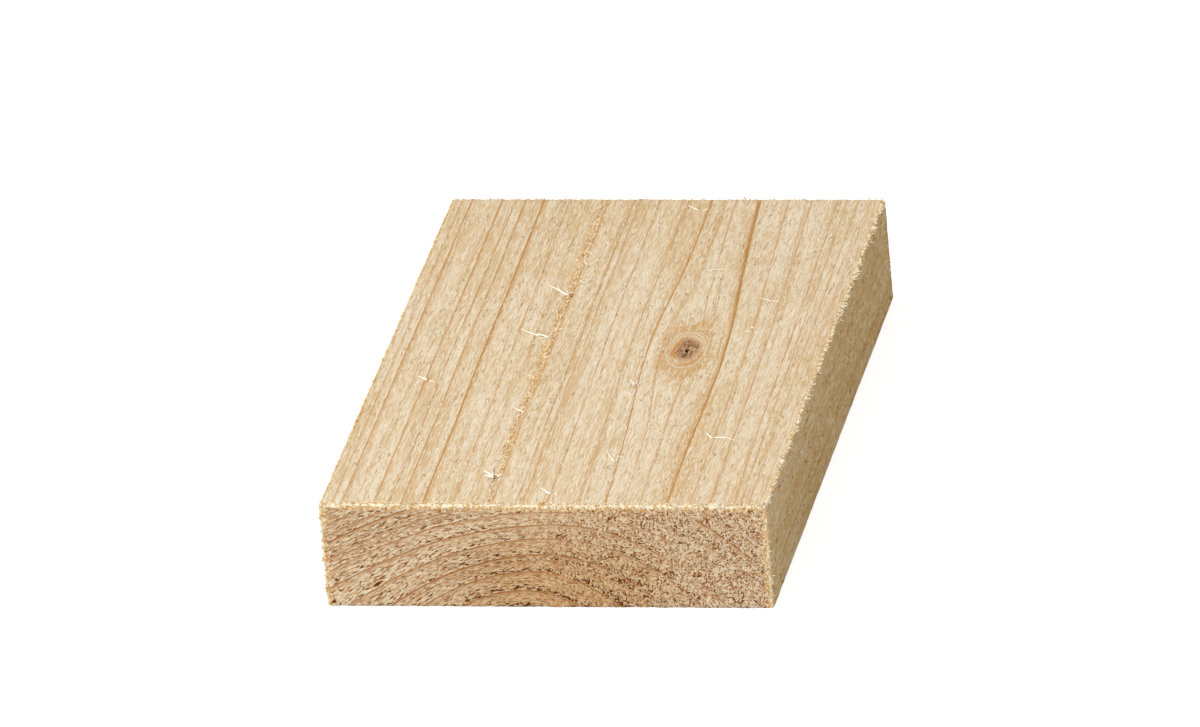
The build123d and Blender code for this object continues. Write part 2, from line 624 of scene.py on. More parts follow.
def make_arris_fray(material, amount):
    """Torn tufts on the arrises. Each run has its own number of tufts, which start just
    inside the eased edge and lean out of it, and along it by chance. Their size and tone
    follow noise along the edge, so big ones and orange ones stand in clumps. Tufts that
    would reach the floor are left out."""
    rng = np.random.default_rng(5)
    parts = []
    for start, end, out, facing, density, length, radius in arris_runs():
        start, end = np.array(start, float), np.array(end, float)
        out = unit(np.array(out, float))
        span = np.linalg.norm(end - start)
        count = int(span * density * amount)
        way = (end - start) / span
        at = np.sort(rng.uniform(0.7, span - 0.7, count))
        spread = np.cross(way, out)
        turned = rng.normal(0, 0.45, count)
        ahead = rng.normal(0, 0.6, count)
        heading = unit(out + turned[:, None] * spread + ahead[:, None] * way)
        aside = rng.uniform(-0.5, 0.5, count)
        root = start + at[:, None] * way - 0.45 * out + aside[:, None] * spread
        root -= 0.2 * np.abs(aside)[:, None] * out
        along_edge = np.stack((at, at * 0, at * 0 + start.sum()), 1)
        clump = 0.75 + 0.55 * noise(along_edge / (0.9, 1, 1), 7)
        big = np.minimum(rng.lognormal(0, 0.25, count), 1.5) * clump
        thick = radius * rng.lognormal(0, 0.25, count) * (0.6 + 0.4 * clump)
        tone = 0.45 + 0.25 * way[2] + 0.5 * noise(along_edge / (0.8, 1, 1), 17)
        tone = np.clip(tone + rng.normal(0, 0.18, count), 0, 1)
        faces = np.tile(np.array(facing, float), (count, 1)) + rng.normal(0, 0.2, (count, 3))
        bend = rng.normal(0, 0.3, (count, 3))
        parts.append((root, heading, bend, length * big, thick, tone, faces))
    values = [np.concatenate(part) for part in zip(*parts)]
    root, heading, bend, length = values[:4]
    keep = root[:, 2] + length * (heading[:, 2] + bend[:, 2]) > LOW[2] + 0.12
    hand_over(fibres("arris_fray", *(each[keep] for each in values)), material)


def make_torn_line(material, amount):
    """Small tufts along the ring line that the saw tore, where the wood's own place across
    the grain is TORN_LINE. Each root is moved across until it lies on that line, and then
    a little off it by chance. Noise along the line sets where they are dense."""
    rng = np.random.default_rng(12)
    count = int(LINE_TUFTS * amount)
    y = rng.uniform(LOW[1] + 2, HIGH[1] - 2, count)
    root = np.stack((np.full(count, TORN_LINE), y, np.full(count, HIGH[2] - ROOT_DEPTH)), 1)
    for _ in range(8):
        root[:, 0] -= grain_place(root)[:, 0] - TORN_LINE
    rough = 0.5 + 0.6 * noise(np.stack((y / 7, y * 0, y * 0), 1), 91)
    rough += 0.25 * smooth_step(-60, 20, y)
    keep = rng.uniform(0, 1, count) < rough
    root, count = root[keep], keep.sum()
    root[:, 0] += rng.normal(0, 0.4, count)
    angle = rng.uniform(0, 2 * math.pi, count)
    heading = unit(np.stack((np.cos(angle), np.sin(angle), rng.uniform(0.1, 0.7, count)), 1))
    bend = rng.normal(0, 0.45, (count, 3)) - (0, 0, 0.3)
    length = 0.85 * rng.lognormal(0, 0.35, count)
    radius = 0.15 * rng.lognormal(0, 0.3, count)
    facing = np.tile(UP, (count, 1))
    tone = rng.uniform(0, 1, count)
    tufts = (root, heading, bend, length, radius, tone, facing)
    hand_over(fibres("torn_line", *tufts, stations=4), material)


def ring_slope(points):
    """The direction along the growth rings at each point of a cross cut, at right angles to
    the change of the ring level across the width and up the thickness."""
    across, up = level_change(points, 0.2)
    return unit(np.stack((up, np.zeros(len(points)), -across), 1))


def make_end_fuzz(material, amount):
    """Short curled fibres on both cross cuts. They lie along the rings left of the crown
    and every way right of it, where there are more, and few stand on the hard latewood."""
    rng = np.random.default_rng(6)
    count = int(END_FIBRES * amount)
    x = rng.uniform(LOW[0] + 0.5, HIGH[0] - 0.5, count)
    z = rng.uniform(LOW[2] + 0.4, HIGH[2] - 0.4, count)
    out = signs(rng, count)
    y = np.where(out < 0, LOW[1] + 0.04, HIGH[1] - 0.04)
    root = np.stack((x, y, z), 1)
    count_of_rings = ring_count(root)
    heights = np.array([height for height, _ in RINGS])
    ring = np.minimum(np.floor(count_of_rings).astype(int), len(heights) - 2)
    below_line = (ring + 1 - count_of_rings) * np.diff(heights)[ring]
    right = smooth_step(-14, 16, x + 6 * noise(root / 4, 62))
    wanted = (0.38 + 0.40 * right) * (0.04 + 0.96 * smooth_step(0.45, 1.0, below_line))
    keep = rng.uniform(0, 1, count) < wanted
    root, out, right = root[keep], out[keep], right[keep]
    count = len(root)
    along = ring_slope(root) * signs(rng, count)[:, None]
    aside = np.cross(along, GRAIN)
    angle = rng.normal(0, 1, count) * (0.35 + 1.6 * right)
    flat = along * np.cos(angle)[:, None] + aside * np.sin(angle)[:, None]
    outward = out[:, None] * GRAIN
    heading = unit(flat + rng.uniform(0.05, 0.25, count)[:, None] * outward)
    curl = rng.normal(0, 0.25 + 0.35 * right)
    bend = curl[:, None] * np.cross(flat, GRAIN) - 0.25 * outward
    length = (0.85 + 0.25 * right) * rng.lognormal(0, 0.3, count)
    radius = 0.125 * rng.lognormal(0, 0.3, count)
    tone = rng.uniform(0, 1, count)
    fuzz = (root, heading, bend, length, radius, tone, outward)
    hand_over(fibres("end_fuzz", *fuzz, stations=4), material)


def make_face_nap(material, amount):
    """The short nap of the sawn faces: fine fibres that lie along the grain and lift at
    one end. The four long faces have it, each in proportion to its width. The knot has
    none, and the ring lines little."""
    rng = np.random.default_rng(8)
    upper, lower, narrow = NAP_FIBRES
    faces = (
        (2, HIGH[2], 1, WIDTH, 0, upper),
        (2, LOW[2], -1, WIDTH, 0, lower),
        (0, HIGH[0], 1, THICKNESS, 2, narrow),
        (0, LOW[0], -1, THICKNESS, 2, narrow),
    )
    parts = []
    for axis, level, out, wide, other, dense in faces:
        count = int(dense * wide * amount)
        root = np.empty((count, 3))
        root[:, axis] = level - out * 0.03
        root[:, other] = rng.uniform(LOW[other] + 0.6, HIGH[other] - 0.6, count)
        root[:, 1] = rng.uniform(LOW[1] + 0.6, HIGH[1] - 0.6, count)
        normal = np.zeros(3)
        normal[axis] = out
        side = np.zeros(3)
        side[other] = 1
        way = signs(rng, count, 0.8)
        lift = rng.uniform(0.03, 0.16, count) * (out > 0 or axis == 0)
        heading = way[:, None] * GRAIN + rng.normal(0, 0.20, count)[:, None] * side
        heading = unit(heading + lift[:, None] * normal)
        bend = rng.normal(0, 0.25, count)[:, None] * side - 0.7 * lift[:, None] * normal
        parts.append((root, heading, bend, np.tile(normal, (count, 1))))
    root, heading, bend, facing = (np.concatenate(part) for part in zip(*parts))
    count = len(root)
    away = np.hypot(*knot_place(root)[:, :2].T)
    on_line = np.mod(ring_count(root), 1.0) > 0.84
    keep = (away > 1.0) & (root[:, 2] > LOW[2] + 0.05)
    keep &= ~on_line | (rng.uniform(0, 1, count) < 0.25)
    length = 1.5 * rng.lognormal(0, 0.4, count)
    radius = 0.08 * rng.lognormal(0, 0.3, count)
    tone = rng.uniform(0, 1, count)
    nap = (root, heading, bend, length, radius, tone, facing)
    hand_over(fibres("face_nap", *(each[keep] for each in nap)), material)


# Splinters that stand clear of the upper face: (x and y of the root, x and y of the
# tip, how high the middle lifts, radius at the root)
SPLINTERS = (
    (-12.8, 28.0, -17.8, 32.4, 0.45, 0.26),
    (-14.6, 29.6, -19.4, 33.6, 0.40, 0.20),
    (-15.4, 30.2, -17.2, 33.6, 0.35, 0.17),
    (-13.4, 28.8, -14.6, 31.6, 0.35, 0.16),
    (-13.8, 6.4, -17.4, 7.6, 0.40, 0.24),
    (-15.4, 6.6, -21.4, 10.4, 0.45, 0.18),
    (-14.0, 6.2, -16.4, 5.2, 0.30, 0.18),
    (-13.0, 6.0, -11.8, 8.2, 0.30, 0.14),
    (-13.0, -66.0, -16.0, -63.4, 0.45, 0.30),
    (-13.0, -66.2, -15.6, -65.6, 0.35, 0.26),
    (-13.2, -65.6, -13.9, -62.6, 0.35, 0.18),
    (-12.6, -66.0, -11.0, -65.0, 0.30, 0.16),
    (-37.2, -16.6, -40.2, -14.6, 0.35, 0.22),
    (-37.2, -16.8, -35.4, -18.0, 0.25, 0.18),
    (-37.6, -16.2, -38.2, -13.8, 0.25, 0.15),
    (1.2, -74.2, -1.8, -71.6, 0.40, 0.20),
    (1.4, -74.4, -0.4, -74.0, 0.30, 0.18),
    (1.6, -74.0, 2.8, -75.6, 0.25, 0.14),
    (13.0, -58.8, 9.8, -52.4, 0.45, 0.17),
    (12.8, -58.6, 13.4, -55.2, 0.35, 0.17),
    (12.6, -59.0, 12.0, -61.6, 0.25, 0.13),
    (31.6, -45.6, 37.6, -47.4, 0.35, 0.17),
    (32.6, -46.0, 30.4, -42.8, 0.35, 0.20),
    (10.2, -18.6, 8.6, -15.6, 0.35, 0.20),
    (10.6, -19.4, 11.4, -17.4, 0.25, 0.14),
    (10.4, -24.2, 9.2, -22.0, 0.25, 0.16),
    (-12.0, -32.8, -15.6, -30.4, 0.35, 0.17),
    (-13.6, -31.8, -12.6, -34.2, 0.25, 0.15),
    (-13.2, -31.6, -15.0, -32.6, 0.25, 0.13),
    (33.6, 25.4, 30.0, 27.2, 0.25, 0.13),
    (33.2, 25.6, 35.2, 24.8, 0.25, 0.14),
    (15.2, 40.6, 18.6, 44.8, 0.25, 0.12),
    (15.4, 41.2, 20.6, 41.6, 0.25, 0.10),
    (30.5, 12.0, 32.0, 10.4, 0.25, 0.14),
    (29.8, 9.8, 31.6, 8.6, 0.25, 0.12),
    (-11.8, 43.6, -9.4, 47.2, 0.35, 0.16),
    (-12.0, 44.2, -13.4, 46.6, 0.30, 0.14),
    (8.6, 73.6, 5.2, 76.6, 0.35, 0.18),
    (5.4, 76.4, 4.2, 73.6, 0.25, 0.13),
    (9.0, 73.4, 10.6, 74.2, 0.25, 0.13),
    (-11.4, 34.2, -9.2, 36.8, 0.35, 0.16),
    (-10.8, 34.4, -12.6, 36.2, 0.30, 0.13),
    (-40.0, 10.0, -41.0, 6.5, 0.20, 0.13),
    (-44.0, -4.0, -44.8, -8.0, 0.20, 0.13),
)


def make_splinters(material):
    """The lifted splinters. A splinter's line leaves its root along the face, rises to its
    greatest lift half way, and comes down to its tip, with a sideways bow."""
    rng = np.random.default_rng(9)
    table = np.array(SPLINTERS)
    count = len(table)
    root = np.column_stack((table[:, :2], np.full(count, HIGH[2] - ROOT_DEPTH)))
    span = table[:, 2:4] - table[:, :2]
    length = np.linalg.norm(span, axis=1)
    straight = np.column_stack((span / length[:, None], np.zeros(count)))
    sideways = np.column_stack((-straight[:, 1], straight[:, 0], np.zeros(count)))
    facing = np.tile(UP, (count, 1))
    lift = (4 * table[:, 4] / length)[:, None] * facing
    bow = rng.uniform(0.15, 0.45, count)[:, None] * sideways
    heading = straight + bow + lift
    bend = -bow - 0.8 * lift
    radius = 1.45 * table[:, 5]
    tone = rng.uniform(0.0, 0.5, count)
    splinters = (root, heading, bend, length, radius, tone, facing)
    hand_over(fibres("splinters", *splinters, stations=8), material)


# Finishes


def reckoning(operation, swapped=False):
    """A method of Value that puts a Math or Vector Math node on it and what it is given."""

    def method(self, *others):
        values = (self, *others)[::-1] if swapped else (self, *others)
        vector = self.socket.type == "VECTOR"
        kind = "VectorMath" if vector else "Math"
        output = "Vector" if vector and operation not in ("LENGTH", "DOT_PRODUCT") else "Value"
        return self.graph.value(kind, dict(enumerate(values)), output, operation=operation)

    return method


class Value:
    """A node's output. Sums with it, and its methods, add nodes to its tree and return
    their outputs. What they are given may be a Value too, or a plain number or tuple."""

    def __init__(self, graph, socket):
        self.graph = graph
        self.socket = socket

    __add__ = __radd__ = reckoning("ADD")
    __sub__ = reckoning("SUBTRACT")
    __rsub__ = reckoning("SUBTRACT", swapped=True)
    __mul__ = __rmul__ = reckoning("MULTIPLY")
    __truediv__ = reckoning("DIVIDE")
    __pow__ = reckoning("POWER")
    __abs__ = reckoning("ABSOLUTE")
    larger = reckoning("MAXIMUM")
    smaller = reckoning("MINIMUM")
    above = reckoning("GREATER_THAN")
    floor = reckoning("FLOOR")
    fraction = reckoning("FRACT")
    sine = reckoning("SINE")
    length = reckoning("LENGTH")
    direction = reckoning("NORMALIZE")
    dot = reckoning("DOT_PRODUCT")

    def rise(self, low, high, interpolation="SMOOTHSTEP"):
        """0 at low and beyond it, 1 at high and beyond it, with a smooth change between."""
        inputs = {"Value": self, "From Min": low, "From Max": high}
        return self.graph.value("MapRange", inputs, interpolation_type=interpolation)

    def span(self, low, high):
        """From low to high as this goes from 0 to 1."""
        return self.graph.value("MapRange", {"Value": self, "To Min": low, "To Max": high})

    def noise(self, detail=2.0, roughness=0.5, distortion=0.0):
        """Noise whose features are about one unit of this vector across."""
        inputs = {"Vector": self, "Scale": 1.0, "Detail": detail}
        inputs.update({"Roughness": roughness, "Distortion": distortion})
        return self.graph.value("TexNoise", inputs)

    def strokes(self, tree, turn, bow, width):
        """One layer of torn strokes over this vector, as its strokes and their tones."""
        found = self.graph.group(tree, Vector=self, Turn=turn, Bow=bow, Width=width)
        return found["Stroke"], found["Tone"]

    def parts(self):
        """The x, y and z of a vector, or the red, green and blue of a colour."""
        kind = "SeparateXYZ" if self.socket.type == "VECTOR" else "SeparateColor"
        return [Value(self.graph, found) for found in self.graph.node(kind, {0: self}).outputs]


class Graph:
    """A node tree with short calls for the nodes that the finishes use. Wherever a value
    is asked for, it may be a number, a tuple or a Value. A colour has three numbers."""

    def __init__(self, tree):
        self.tree = tree

    def feed(self, socket, value):
        """Links a Value to an input, or sets the input to anything else."""
        if isinstance(value, Value):
            self.tree.links.new(value.socket, socket)
        elif socket.type == "RGBA":
            socket.default_value = (*value, 1.0)
        else:
            socket.default_value = value

    def node(self, kind, inputs, **settings):
        """A node with these settings, whose inputs are given by name or number."""
        made = self.tree.nodes.new("ShaderNode" + kind)
        for name, value in settings.items():
            setattr(made, name, value)
        for name, value in inputs.items():
            self.feed(made.inputs[name], value)
        return made

    def value(self, kind, inputs, output=0, **settings):
        """One output of such a node."""
        return Value(self, self.node(kind, inputs, **settings).outputs[output])

    def values(self, kind, inputs, **settings):
        """Every output of such a node, by name."""
        made = self.node(kind, inputs, **settings)
        return {found.name: Value(self, found) for found in made.outputs}

    def group(self, tree, **inputs):
        """Every output of a node group, by name."""
        return self.values("Group", inputs, node_tree=tree)

    def attribute(self, name, output="Fac"):
        """What a mesh holds under this name."""
        return self.value("Attribute", {}, output, attribute_name=name)

    def joined(self, x, y=0.0, z=0.0):
        """A vector of three numbers."""
        return self.value("CombineXYZ", {0: x, 1: y, 2: z})

    def blend(self, share, first, second):
        """From the first number to the second as share goes from 0 to 1."""
        return self.value("Mix", {0: share, 2: first, 3: second})

    def mix(self, share, first, second, blend="MIX"):
        """From the first colour to the second as share goes from 0 to 1."""
        inputs = {0: share, 6: first, 7: second}
        return self.value("Mix", inputs, 2, data_type="RGBA", blend_type=blend)

    def tinted(self, share, colour, tint):
        """A colour, multiplied by a tint where share is 1."""
        return self.mix(share, colour, self.mix(1.0, colour, tint, "MULTIPLY"))

    def painted(self, colour, *layers):
        """A colour under layers of others, each given as its share and its own colour."""
        for share, over in layers:
            colour = self.mix(share, colour, over)
        return colour

    def ramp(self, value, stops, interpolation="LINEAR"):
        """A colour ramp through these stops, each a position and a colour."""
        made = self.node("ValToRGB", {"Fac": value})
        made.color_ramp.interpolation = interpolation
        elements = made.color_ramp.elements
        while len(elements) < len(stops):
            elements.new(0.5)
        for element, (position, colour) in zip(elements, stops):
            element.position = position
            element.color = (*colour, 1.0)
        return Value(self, made.outputs["Color"])


def open_group(name, **inputs):
    """An empty shader node group with these inputs, each given by its name and kind.
    Returns its graph and its inputs by name."""
    tree = bpy.data.node_groups.new(name, "ShaderNodeTree")
    for label, kind in inputs.items():
        tree.interface.new_socket(name=label, in_out="INPUT", socket_type="NodeSocket" + kind)
    graph = Graph(tree)
    given = tree.nodes.new("NodeGroupInput").outputs
    return graph, {label: Value(graph, given[label]) for label in inputs}


def close_group(graph, **values):
    """Puts these numbers out of a group by name, and returns its tree."""
    tree = graph.tree
    for label in values:
        tree.interface.new_socket(name=label, in_out="OUTPUT", socket_type="NodeSocketFloat")
    taken = tree.nodes.new("NodeGroupOutput").inputs
    for label, value in values.items():
        graph.feed(taken[label], value)
    return tree


def ring_group():
    """Growth rings. From the ring count it gives the thin dark latewood line, the darker
    wood that leads up to it, and the soft start of the next ring, and for cross cuts a
    wider line and band. A ramp holds each ring's darkness in red and its thickness in
    green, as a share of THICKEST_RING. Lines are thinner in rings under 1.7 mm. Right of
    the crown the darkest line gets wider towards the back, and the others are fainter
    from about the knot on."""
    graph, given = open_group("Growth rings", Ring="Float", Grain="Vector", Spacing="Float")
    grain = given["Grain"]
    x, y, _ = grain.parts()
    ring = given["Ring"] + (grain / (5.0, 30.0, 5.0)).noise().span(-0.035, 0.035)
    ring = ring + (grain / (0.5, 6.0, 0.5)).noise().span(-0.012, 0.012)
    stops = []
    for number, ((height, _), (above, darkness)) in enumerate(zip(RINGS, RINGS[1:])):
        stops.append((number / len(RINGS), (darkness, (above - height) / THICKEST_RING, 0)))
    position = (ring.floor() + 0.5) / float(len(RINGS))
    darkness, thickness, _ = graph.ramp(position, stops, "CONSTANT").parts()
    thickness = thickness * THICKEST_RING
    share = ring.fraction()
    above = share * thickness
    below = (1.0 - share) * thickness / (thickness * 0.6).smaller(1.0) / given["Spacing"]
    strongest = darkness.rise(0.88, 0.97)
    swell = strongest * y.rise(-20.0, HIGH[1]).span(0.2, 1.1) * x.rise(-4.0, 6.0)
    faint = x.rise(16.0, 30.0) * (1.0 - strongest)
    strength = darkness * faint.span(1.0, 0.72)
    below = below / (swell + 1.0)
    return close_group(
        graph,
        Line=below.rise(0.60, 0.22) * strength,
        Glow=below.rise(2.6, 0.0) ** 1.5 * strength,
        Soft=above.rise(0.0, 0.15) * above.rise(1.5, 0.4),
        Wide=below.rise(0.42, 0.26) * strength,
        Band=below.rise(1.5, 0.45) * strength,
    )


def stroke_group():
    """Torn strokes, one in each cell of a random pattern whose cells are one unit across. A
    stroke runs along Y, turned by up to half of Turn and bowed, and has a tone of its own."""
    sockets = {"Vector": "Vector", "Turn": "Float", "Bow": "Float", "Width": "Float"}
    graph, given = open_group("Torn strokes", **sockets)
    cell = graph.values("TexVoronoi", {"Vector": given["Vector"], "Scale": 1.0})
    turn_chance, bow_chance, tone = cell["Color"].parts()
    angle = (turn_chance - 0.5) * given["Turn"]
    inputs = {"Vector": given["Vector"] - cell["Position"], "Angle": angle}
    x, y, _ = graph.value("VectorRotate", inputs, rotation_type="Z_AXIS").parts()
    bow = (bow_chance - 0.5) * given["Bow"] * (y * y)
    across = abs(x + bow).rise(given["Width"], given["Width"] * 0.45, "LINEAR")
    return close_group(graph, Stroke=across * abs(y).rise(0.62, 0.40), Tone=tone)


def nap_group(torn):
    """Sawn wood's nap. It gives long streaks, a woolly unevenness, pale strokes of lifted
    fibre, dark strokes between them, small torn flecks, and a height for bump. Flecks
    are rare on smooth wood and more frequent where Rough is high."""
    graph, given = open_group("Sawn nap", Grain="Vector", Place="Vector", Rough="Float")
    grain, place = given["Grain"], given["Place"]
    fine_streak = (grain / (0.42, 38.0, 0.42)).noise(detail=2.5, roughness=0.6)
    wide_streak = (grain / (1.7, 90.0, 1.7)).noise()
    wool = (place / (0.30, 4.2, 0.30)).noise(distortion=0.5)
    bent = place + graph.joined((place / (1.2, 3.0, 1.2)).noise(detail=1.0).span(-0.5, 0.5))
    short, short_tone = (bent / (0.50, 2.8, 0.6)).strokes(torn, 1.6, 1.8, 0.22)
    moved = bent + (40.3, 9.1, 5.2)
    long, long_tone = (moved / (0.70, 5.5, 0.8)).strokes(torn, 1.1, 1.4, 0.17)
    pale = (short * short_tone.rise(0.5, 0.7)).larger(long * long_tone.rise(0.6, 0.7))
    dark = (short * short_tone.rise(0.45, 0.2)).larger(long * long_tone.rise(0.4, 0.25))
    moved = bent + (-21.7, 14.4, 33.9)
    mark, mark_tone = (moved / (0.55, 2.2, 0.6)).strokes(torn, 1.8, 1.2, 0.24)
    scarce = given["Rough"].span(0.985, 0.62)
    scarce = scarce + (grain / (2.5, 14.0, 2.5)).noise().span(0.14, -0.14)
    fleck = mark * mark_tone.above(scarce)
    return close_group(
        graph,
        Streak=fine_streak * 0.6 + wide_streak * 0.4,
        Wool=wool,
        Pale=pale,
        Dark=dark,
        Fleck=fleck,
        Height=wool * 0.5 + pale * 0.25 - dark.larger(fleck) * 0.2,
    )


def near_crown(x):
    """1 within 8 mm of the middle of the rings' crown, falling to 0 at 34 mm from it."""
    return abs(x - 3.0).rise(34.0, 8.0)


def end_group(torn):
    """Cross-cut wood. Left of the crown its fibre is combed along the rings, and right of
    it it curls every way. Pale strands follow one height of a noise field and some of the
    strokes. Dark gaps follow its hollows and other strokes; they are painted shade between
    the fibres. The deepest hollows are pits, painted as the shade inside them, most of all
    in the soft start of a ring, low in the middle. Hold is how much of a ring line the torn
    fibre leaves to be seen."""
    graph, given = open_group("Cross cut", Grain="Vector", Level="Float", Soft="Float")
    x, y, z = given["Grain"].parts()
    flat = graph.joined(x, z, y)
    ringed = graph.joined(given["Level"], x, y)
    right = (x + (flat / (3.0, 3.0, 3.0)).noise().span(-8.0, 8.0)).rise(-14.0, 14.0)
    loose = flat.noise(detail=0.8, distortion=2.4)
    combed = (ringed / (0.33, 1.3, 0.8)).noise(detail=1.0, distortion=0.8)
    turned, turned_tone = (flat / (0.80, 1.15, 0.8)).strokes(torn, 6.28, 3.4, 0.24)
    laid, laid_tone = (ringed / (0.50, 1.4, 0.8)).strokes(torn, 1.2, 1.8, 0.28)
    curl = graph.blend(right, combed, loose)
    stroke = graph.blend(right, laid, turned)
    tone = graph.blend(right, laid_tone, turned_tone)
    pale = (stroke * tone.rise(0.55, 0.70)).larger(abs(curl - 0.63).rise(0.11, 0.04))
    hollow = curl - right.span(-0.03, 0.02)
    # Dark gaps: painted shade between the fibres, in the field's hollows and in some strokes
    dark = (stroke * tone.rise(0.40, 0.28)).larger(hollow.rise(0.43, 0.38))
    patchy = (flat / (3.0, 2.2, 3.0)).noise(distortion=0.6)
    shown = patchy.rise(0.40, 0.60).span(0.30, 1.0)
    heart = near_crown(x) * z.rise(24.0, 2.0)
    soft = given["Soft"].span(-0.02, 0.05) + heart * given["Soft"].span(0.02, 0.13)
    patch = (flat / (5.0, 2.0, 5.0)).noise().span(-0.05, 0.05)
    # Pits, which the finish paints dark as the shade inside them
    pit = (curl - (soft + patch)).rise(0.355, 0.31)
    return close_group(
        graph,
        Curl=curl,
        Pale=pale,
        Dark=dark,
        Pit=pit,
        Hold=graph.blend(right, 1.0, shown),
        Height=curl * 0.7 - pit * 0.2 + pale * 0.25,
    )


def finish_shader(graph, colour, roughness, height, depth):
    """The Principled shader at the end of a finish, with a bump of this depth in metres."""
    normal = graph.value("Bump", {"Strength": 1.0, "Distance": depth, "Height": height})
    inputs = {"Base Color": colour, "Roughness": roughness, "Specular IOR Level": 0.0}
    shader = graph.value("BsdfPrincipled", {**inputs, "Normal": normal})
    graph.node("OutputMaterial", {"Surface": shader})


def new_material(name):
    """An empty material, with its graph."""
    material = bpy.data.materials.new(name)
    material.use_nodes = True
    material.node_tree.nodes.clear()
    return material, Graph(material.node_tree)


def knot_colour(graph, colours, torn):
    """The knot's colour, how far it covers the wood, and the stain and fine lines outside
    it. It has a mottled grey-brown heart with an amber spot, broken orange and cream rings
    round that, tan wood round the open pith, and an orange stain above and below. The open
    pith is painted near black, as the shade inside it."""
    x, y, _ = graph.attribute("knot", "Vector").parts()
    flat = graph.joined(x, y)
    tight = (flat * (6.0, 9.0, 0.0)).noise()
    away = flat.length() + (flat * (1.7, 1.7, 0.0)).noise().span(-0.18, 0.18)
    away = away + tight.span(-0.05, 0.05)
    blotch = (flat * (1.5, 3.0, 0.0) + (4.0, 7.0, 2.0)).noise(detail=3.0, distortion=1.2)
    stain = (flat * (0.80, 0.58, 0.0)).length().rise(1.45, 0.75) * blotch.rise(0.30, 0.52)
    line_phase = away * 46.0
    lines = away.rise(1.65, 0.95) * line_phase.sine().rise(0.1, 0.9)

    figure = (
        (0.22, colours.knot_heart),
        (0.28, colours.knot_edge),
        (0.31, colours.knot_edge),
        (0.355, colours.early_warm),
        (0.385, colours.early),
        (0.405, colours.late_glow),
        (0.425, colours.early),
        (0.455, colours.streak),
        (0.48, colours.early),
        (0.52, colours.streak),
        (0.56, colours.early_warm),
    )
    towards = flat.direction()
    left = towards.dot((-0.97, 0.22, 0.0)).rise(0.25, 0.75)
    left = left * (away.rise(0.50, 0.62) * away.rise(0.80, 0.72))
    lower = towards.dot((0.55, -0.84, 0.0)).rise(0.50, 0.85)
    lower = lower * (away.rise(0.66, 0.76) * away.rise(0.94, 0.84))
    arc = left.larger(lower) * tight.rise(0.30, 0.52).span(0.35, 1.0)

    heart = (flat * (5.0, 6.0, 0.0)).noise(roughness=0.6, distortion=1.3)
    inner = (away + heart.span(-0.25, 0.25)).rise(0.66, 0.40)
    scratch, tone = (flat * (8.5, 11.0, 0.0)).strokes(torn, 6.28, 2.6, 0.26)
    pale = (scratch * tone.rise(0.60, 0.75)).larger(heart.rise(0.55, 0.61))
    dark = (scratch * tone.rise(0.50, 0.35)).larger(heart.rise(0.49, 0.39))
    amber = ((flat - (-0.15, 0.03, 0.0)) * (1.0, 1.5, 0.0)).length()
    pith_scale = (KNOT_HALF[0] / PITH_HALF[0], KNOT_HALF[1] / PITH_HALF[1], 0.0)
    pith = (flat * pith_scale).length()
    colour = graph.painted(
        graph.ramp(away / 2.0, figure),
        (arc * 0.85, colours.knot_ring),
        (pale * inner * 0.60, colours.early_warm),
        (dark * inner * 0.72, colours.knot_dark),
        (amber.rise(0.14, 0.06) * 0.8, colours.knot_ring),
        (pith.rise(2.3, 1.7) * 0.75, colours.knot_edge),
        # The open pith, painted near black as the shade inside it
        (pith.rise(1.25, 1.05), colours.pith),
    )
    return colour, away.rise(1.18, 1.0), stain, lines


